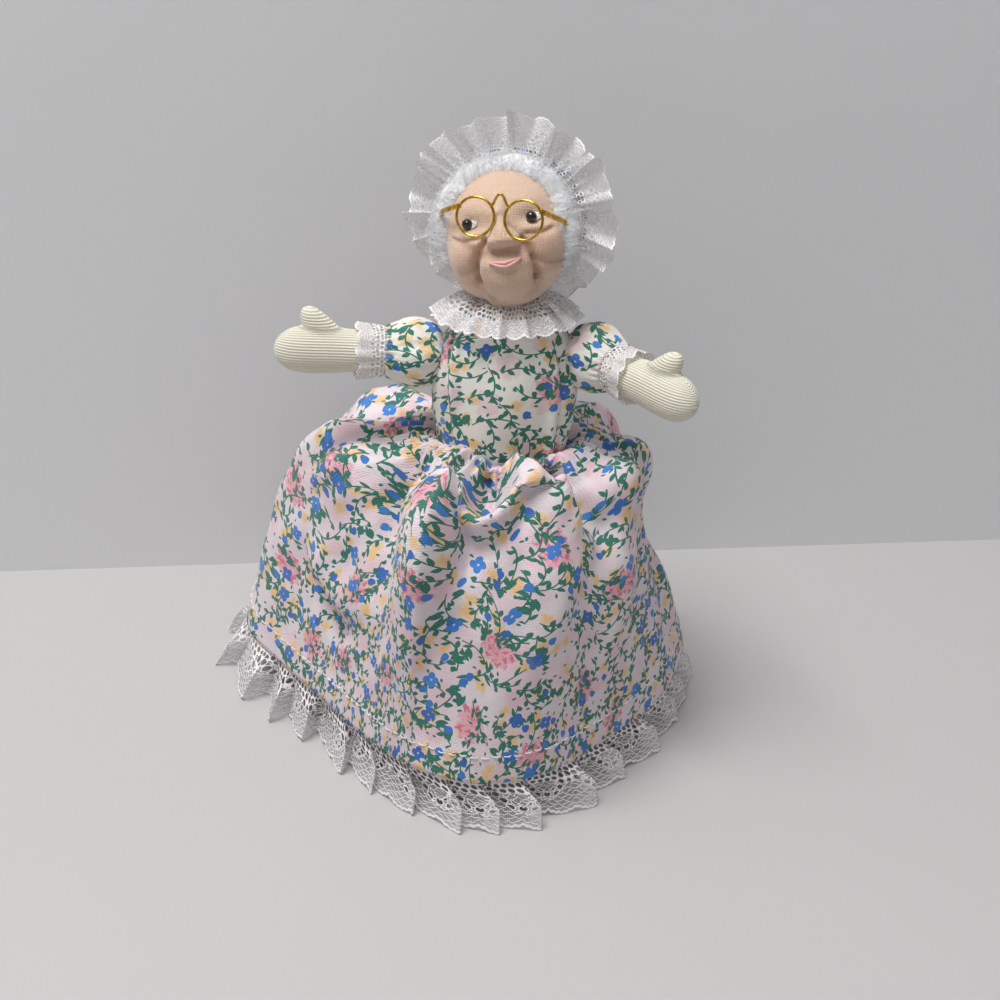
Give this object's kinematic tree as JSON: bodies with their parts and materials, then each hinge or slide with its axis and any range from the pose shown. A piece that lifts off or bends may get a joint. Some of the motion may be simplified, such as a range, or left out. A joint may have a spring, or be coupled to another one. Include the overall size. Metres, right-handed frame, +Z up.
{
  "type": "topsy-turvy doll",
  "caption": "Soft cloth topsy-turvy doll: an elderly lady in a lace-trimmed cap and floral dress, whose long skirt lifts to show a girl sewn on upside down at the waist.",
  "frame": {"origin": "centre of the hem on the table", "axes": "+Z up along the standing doll, the lady faces -Y"},
  "size_m": [0.1579, 0.1473, 0.198],
  "materials": {
    "printed_cotton": "printed woven cotton",
    "lining_cotton": "plain woven cotton",
    "plain_cotton": "plain woven cotton",
    "white_lace": "netted lace",
    "face_jersey": "fine knitted jersey",
    "mitten_jersey": "ribbed knitted jersey",
    "calico": "plain woven cotton",
    "fibre": "loose fibre",
    "white_hair": "teased fibre",
    "yarn": "wool yarn",
    "brass_wire": "bright wire",
    "bead": "polished bead",
    "lip_thread": "embroidery thread"
  },
  "bodies": {
    "trunk": {"lady_torso": "calico", "lady_torso_stuffing": "fibre", "lady_bodice": "printed_cotton", "lady_collar_lace": "white_lace", "girl_torso": "calico", "girl_torso_stuffing": "fibre", "girl_bodice": "plain_cotton", "girl_collar": "white_lace", "waist_binding": "calico", "skirt_outer": "printed_cotton", "skirt_lining": "lining_cotton"},
    "head_of_lady": {"lady_head": "face_jersey", "lady_head_stuffing": "fibre", "lady_right_eye": "bead", "lady_left_eye": "bead", "lady_mouth_stitch": "lip_thread", "spectacles": "brass_wire", "lady_hair": "white_hair", "cap_crown": "printed_cotton", "cap_brim_lace": "white_lace", "cap_elastic": "fibre"},
    "right_arm_of_lady": {"lady_right_arm": "mitten_jersey", "lady_right_arm_stuffing": "fibre", "lady_right_sleeve": "printed_cotton", "lady_right_cuff_lace": "white_lace"},
    "left_arm_of_lady": {"lady_left_arm": "mitten_jersey", "lady_left_arm_stuffing": "fibre", "lady_left_sleeve": "printed_cotton", "lady_left_cuff_lace": "white_lace"},
    "head_of_girl": {"girl_head": "face_jersey", "girl_head_stuffing": "fibre", "girl_right_eye": "bead", "girl_left_eye": "bead", "girl_mouth_stitch": "lip_thread", "girl_hair": "yarn"},
    "right_arm_of_girl": {"girl_right_arm": "mitten_jersey", "girl_right_arm_stuffing": "fibre", "girl_right_sleeve": "plain_cotton"},
    "left_arm_of_girl": {"girl_left_arm": "mitten_jersey", "girl_left_arm_stuffing": "fibre", "girl_left_sleeve": "plain_cotton"},
    "hem": {"hem_lace": "white_lace"}
  },
  "joints": [
    {"name": "lady_head_turn", "type": "hinge", "parent": "trunk", "child": "head_of_lady", "pos_m": [0.00641, -0.0026, 0.14242], "axis": [-0.0346, 0.1392, 0.9897], "range_deg": [-35, 35]},
    {"name": "lady_right_arm_raise", "type": "hinge", "parent": "trunk", "child": "right_arm_of_lady", "pos_m": [-0.01906, -0.00469, 0.12667], "axis": [-0.1688, 0.9752, -0.143], "range_deg": [-40, 55]},
    {"name": "lady_left_arm_raise", "type": "hinge", "parent": "trunk", "child": "left_arm_of_lady", "pos_m": [0.03291, -0.00469, 0.12849], "axis": [-0.7459, -0.6626, 0.0671], "range_deg": [-35, 55]},
    {"name": "girl_head_turn", "type": "hinge", "parent": "trunk", "child": "head_of_girl", "pos_m": [0.008, -0.009, 0.0509], "axis": [0, 0, -1], "range_deg": [-35, 35]},
    {"name": "girl_right_arm_swing", "type": "hinge", "parent": "trunk", "child": "right_arm_of_girl", "pos_m": [0.034, -0.009, 0.0659], "axis": [1, 0, 0], "range_deg": [-22, 40]},
    {"name": "girl_left_arm_swing", "type": "hinge", "parent": "trunk", "child": "left_arm_of_girl", "pos_m": [-0.018, -0.009, 0.0659], "axis": [1, 0, 0], "range_deg": [-22, 40]},
    {"name": "skirt_lift", "type": "slide", "parent": "trunk", "child": "hem", "axis": [0, 0, 1], "range_m": [0, 0.0525], "deforming": ["skirt_outer", "skirt_lining"]}
  ]
}
